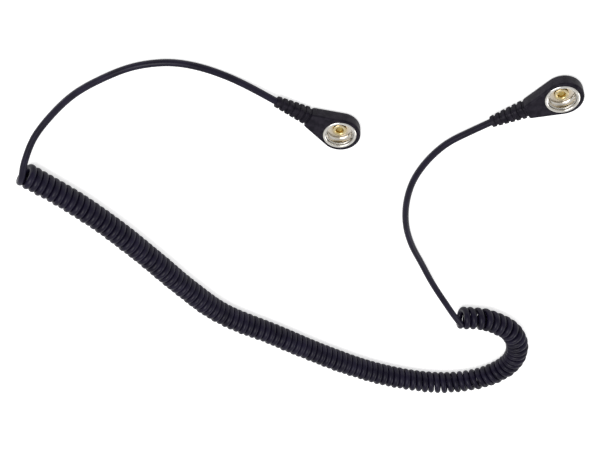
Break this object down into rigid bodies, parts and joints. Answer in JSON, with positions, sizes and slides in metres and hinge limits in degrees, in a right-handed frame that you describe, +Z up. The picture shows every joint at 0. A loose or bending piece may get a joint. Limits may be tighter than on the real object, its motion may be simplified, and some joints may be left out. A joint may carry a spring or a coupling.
{
  "type": "esd_coiled_earthing_cord",
  "caption": "Black coiled earthing cord for an antistatic wrist strap, about 2.82 m of cord, with a moulded 10 mm snap socket end on each end.",
  "frame": {"origin": "On the flat back of the wrist end's housing, straight below the middle of its snap socket, on the surface that the cord lies on.", "axes": "+Z goes up out of both snap sockets, away from the surface. +X runs from the wrist end roughly towards the ground end, and +Y points away from the coil. The wrist end's strain relief points 29.6 degrees off -X towards +Y."},
  "size_m": [0.219, 0.1953, 0.0101],
  "materials": {
    "moulding": "satin black PVC moulding",
    "jacket": "satin black polyurethane jacket",
    "nickel": "bright nickel plate on drawn brass",
    "spring_wire": "plated spring wire",
    "brass": "bright brass closed eyelet",
    "tin": "tin-plated sheet",
    "copper": "bare stranded copper",
    "resistor_coating": "lacquered resistor body",
    "shrink_sleeve": "shrunk polyolefin sleeve"
  },
  "bodies": {
    "cord": {"wrist_housing": "moulding", "wrist_socket": "nickel", "wrist_eyelet": "brass", "wrist_terminal": "tin", "wrist_conductor": "copper", "wrist_jacket_end": "jacket", "wrist_resistor": "resistor_coating", "wrist_resistor_sleeve": "shrink_sleeve", "wrist_splice": "tin", "ground_housing": "moulding", "ground_socket": "nickel", "ground_eyelet": "brass", "ground_terminal": "tin", "ground_conductor": "copper", "ground_jacket_end": "jacket", "cord_wrist_lead": "jacket", "cord_coil": "jacket", "cord_ground_lead": "jacket"},
    "wrist_spring_leg_left": {"wrist_spring_left": "spring_wire"},
    "wrist_spring_leg_right": {"wrist_spring_right": "spring_wire"},
    "ground_spring_leg_left": {"ground_spring_left": "spring_wire"},
    "ground_spring_leg_right": {"ground_spring_right": "spring_wire"}
  },
  "joints": [
    {"name": "wrist_spring_left_opening", "type": "hinge", "parent": "cord", "child": "wrist_spring_leg_left", "pos_m": [-0.00448, 0.00254, 0.00475], "axis": [0, 0, 1], "range_deg": [0, 2.5], "stiffness_Nm_per_rad": 0.6},
    {"name": "wrist_spring_right_opening", "type": "hinge", "parent": "cord", "child": "wrist_spring_leg_right", "pos_m": [-0.00448, 0.00254, 0.00475], "axis": [0, 0, 1], "range_deg": [-2.5, 0], "stiffness_Nm_per_rad": 0.6},
    {"name": "ground_spring_left_opening", "type": "hinge", "parent": "cord", "child": "ground_spring_leg_left", "pos_m": [0.07619, 0.01815, 0.00475], "axis": [0, 0, 1], "range_deg": [0, 2.5], "stiffness_Nm_per_rad": 0.6},
    {"name": "ground_spring_right_opening", "type": "hinge", "parent": "cord", "child": "ground_spring_leg_right", "pos_m": [0.07619, 0.01815, 0.00475], "axis": [0, 0, 1], "range_deg": [-2.5, 0], "stiffness_Nm_per_rad": 0.6}
  ]
}
